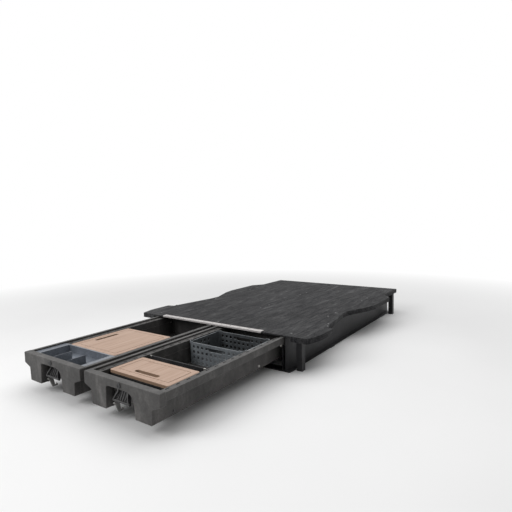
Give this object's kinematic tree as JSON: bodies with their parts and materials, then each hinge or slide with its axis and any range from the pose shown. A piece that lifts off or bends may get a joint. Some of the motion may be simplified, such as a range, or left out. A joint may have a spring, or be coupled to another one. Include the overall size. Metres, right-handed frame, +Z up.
{
  "type": "van drawer system",
  "caption": "Long moulded drawers that roll out from under a wide cargo deck for a van floor, with wooden-lidded boxes, a parts tray, a divider and a ventilated crate.",
  "frame": {"origin": "centre of the rear sill's underside, on the van floor", "axes": "+Y into the van, +Z up, +X to the right as seen from behind the van"},
  "size_m": [1.91, 3.7085, 0.2935],
  "materials": {
    "frame_paint": "satin powder coat",
    "rail_metal": "satin",
    "rubber": "matte",
    "zinc_steel": "zinc plated",
    "deck_plastic": "grained",
    "strip_metal": "satin",
    "nylon": "satin",
    "drawer_plastic": "fine grain",
    "lock_metal": "satin",
    "handle_plastic": "satin",
    "box_plastic": "fine grain",
    "lid_wood": "clear satin",
    "tray_plastic": "satin",
    "crate_plastic": "satin"
  },
  "bodies": {
    "frame": {"rear_sill": "frame_paint", "mid_sill": "frame_paint", "front_sill": "frame_paint", "side_beam_left": "frame_paint", "side_beam_right": "frame_paint", "centre_beam": "frame_paint", "cross_members": "frame_paint", "deck_posts": "frame_paint", "rail_stops": "rubber", "roller_axles": "zinc_steel", "latch_strikers": "zinc_steel", "deck_panel_rear_left": "deck_plastic", "deck_panel_rear_right": "deck_plastic", "deck_panel_mid_left": "deck_plastic", "deck_panel_mid_right": "deck_plastic", "deck_panel_front_left": "deck_plastic", "deck_panel_front_right": "deck_plastic", "deck_edge_left": "deck_plastic", "deck_edge_right": "deck_plastic", "deck_bolts": "zinc_steel", "ruler_strip": "strip_metal", "left_drawer_rail_a": "rail_metal", "left_drawer_rail_b": "rail_metal", "right_drawer_rail_a": "rail_metal", "right_drawer_rail_b": "rail_metal"},
    "left_drawer": {"left_tub": "drawer_plastic", "left_face": "drawer_plastic", "left_runners": "zinc_steel", "left_wheel_axles": "zinc_steel", "left_lock_housing": "lock_metal", "left_handle_bracket": "zinc_steel", "left_latch_bracket": "zinc_steel"},
    "left_rollers": {"left_rollers": "nylon"},
    "left_wheels": {"left_wheels": "nylon"},
    "left_handle": {"left_handle": "handle_plastic"},
    "left_latch_rod": {"left_latch_rod": "zinc_steel"},
    "left_latch_hook": {"left_latch_hook": "zinc_steel"},
    "left_lock_cylinder": {"left_lock_cylinder": "lock_metal"},
    "right_drawer": {"right_tub": "drawer_plastic", "right_face": "drawer_plastic", "right_runners": "zinc_steel", "right_wheel_axles": "zinc_steel", "right_lock_housing": "lock_metal", "right_handle_bracket": "zinc_steel", "right_latch_bracket": "zinc_steel", "divider": "box_plastic"},
    "right_rollers": {"right_rollers": "nylon"},
    "right_wheels": {"right_wheels": "nylon"},
    "right_handle": {"right_handle": "handle_plastic"},
    "right_latch_rod": {"right_latch_rod": "zinc_steel"},
    "right_latch_hook": {"right_latch_hook": "zinc_steel"},
    "right_lock_cylinder": {"right_lock_cylinder": "lock_metal"},
    "large_box": {"large_box": "box_plastic"},
    "large_lid": {"large_lid": "lid_wood"},
    "parts_tray": {"parts_tray": "tray_plastic"},
    "small_box": {"small_box": "box_plastic"},
    "small_lid": {"small_lid": "lid_wood"},
    "crate": {"crate": "crate_plastic"}
  },
  "joints": [
    {"name": "left_drawer_slide", "type": "slide", "parent": "frame", "child": "left_drawer", "axis": [0, -1, 0], "range_m": [-1.215, 0]},
    {"name": "left_wheels_spin", "type": "hinge", "parent": "left_drawer", "child": "left_wheels", "pos_m": [-0.3665, 0.07, 0.2059], "axis": [1, 0, 0], "continuous": true},
    {"name": "left_rollers_spin", "type": "hinge", "parent": "frame", "child": "left_rollers", "pos_m": [-0.3665, 0, 0.2057], "axis": [1, 0, 0], "continuous": true},
    {"name": "left_handle_pull", "type": "hinge", "parent": "left_drawer", "child": "left_handle", "pos_m": [-0.3665, -1.2475, 0.2145], "axis": [-1, 0, 0], "range_deg": [-10, 25], "stiffness_Nm_per_rad": 4},
    {"name": "left_latch_rod_slide", "type": "slide", "parent": "left_drawer", "child": "left_latch_rod", "axis": [0, 0, -1], "range_m": [-0.0017, 0.0042]},
    {"name": "left_latch_hook_turn", "type": "hinge", "parent": "left_drawer", "child": "left_latch_hook", "pos_m": [-0.4565, -1.2595, 0.116], "axis": [-1, 0, 0], "range_deg": [-4, 10]},
    {"name": "left_lock_turn", "type": "hinge", "parent": "left_drawer", "child": "left_lock_cylinder", "pos_m": [-0.3665, -1.2935, 0.2555], "axis": [0, -1, 0], "range_deg": [0, 90]},
    {"name": "right_drawer_slide", "type": "slide", "parent": "frame", "child": "right_drawer", "axis": [0, -1, 0], "range_m": [-1.215, 0]},
    {"name": "right_wheels_spin", "type": "hinge", "parent": "right_drawer", "child": "right_wheels", "pos_m": [0.3665, 0.07, 0.2059], "axis": [1, 0, 0], "continuous": true},
    {"name": "right_rollers_spin", "type": "hinge", "parent": "frame", "child": "right_rollers", "pos_m": [0.3665, 0, 0.2057], "axis": [1, 0, 0], "continuous": true},
    {"name": "right_handle_pull", "type": "hinge", "parent": "right_drawer", "child": "right_handle", "pos_m": [0.3665, -1.2475, 0.2145], "axis": [-1, 0, 0], "range_deg": [-10, 25], "stiffness_Nm_per_rad": 4},
    {"name": "right_latch_rod_slide", "type": "slide", "parent": "right_drawer", "child": "right_latch_rod", "axis": [0, 0, -1], "range_m": [-0.0017, 0.0042]},
    {"name": "right_latch_hook_turn", "type": "hinge", "parent": "right_drawer", "child": "right_latch_hook", "pos_m": [0.2765, -1.2595, 0.116], "axis": [-1, 0, 0], "range_deg": [-4, 10]},
    {"name": "right_lock_turn", "type": "hinge", "parent": "right_drawer", "child": "right_lock_cylinder", "pos_m": [0.3665, -1.2935, 0.2555], "axis": [0, -1, 0], "range_deg": [0, 90]},
    {"name": "large_box_lift", "type": "slide", "parent": "left_drawer", "child": "large_box", "axis": [0, 0, 1], "range_m": [0, 0.3]},
    {"name": "large_lid_lift", "type": "slide", "parent": "large_box", "child": "large_lid", "axis": [0, 0, 1], "range_m": [0, 0.25]},
    {"name": "parts_tray_lift", "type": "slide", "parent": "left_drawer", "child": "parts_tray", "axis": [0, 0, 1], "range_m": [0, 0.3]},
    {"name": "small_box_lift", "type": "slide", "parent": "right_drawer", "child": "small_box", "axis": [0, 0, 1], "range_m": [0, 0.3]},
    {"name": "small_lid_lift", "type": "slide", "parent": "small_box", "child": "small_lid", "axis": [0, 0, 1], "range_m": [0, 0.25]},
    {"name": "crate_lift", "type": "slide", "parent": "right_drawer", "child": "crate", "axis": [0, 0, 1], "range_m": [0, 0.3]}
  ],
  "couplings": [
    {"joint": "left_wheels_spin", "follows": "left_drawer_slide", "rad_per_m": 62.5},
    {"joint": "left_rollers_spin", "follows": "left_drawer_slide", "rad_per_m": 50},
    {"joint": "left_latch_rod_slide", "follows": "left_handle_pull", "m_per_rad": 0.009},
    {"joint": "left_latch_hook_turn", "follows": "left_handle_pull", "ratio": 0.375},
    {"joint": "right_wheels_spin", "follows": "right_drawer_slide", "rad_per_m": 62.5},
    {"joint": "right_rollers_spin", "follows": "right_drawer_slide", "rad_per_m": 50},
    {"joint": "right_latch_rod_slide", "follows": "right_handle_pull", "m_per_rad": 0.009},
    {"joint": "right_latch_hook_turn", "follows": "right_handle_pull", "ratio": 0.375}
  ]
}
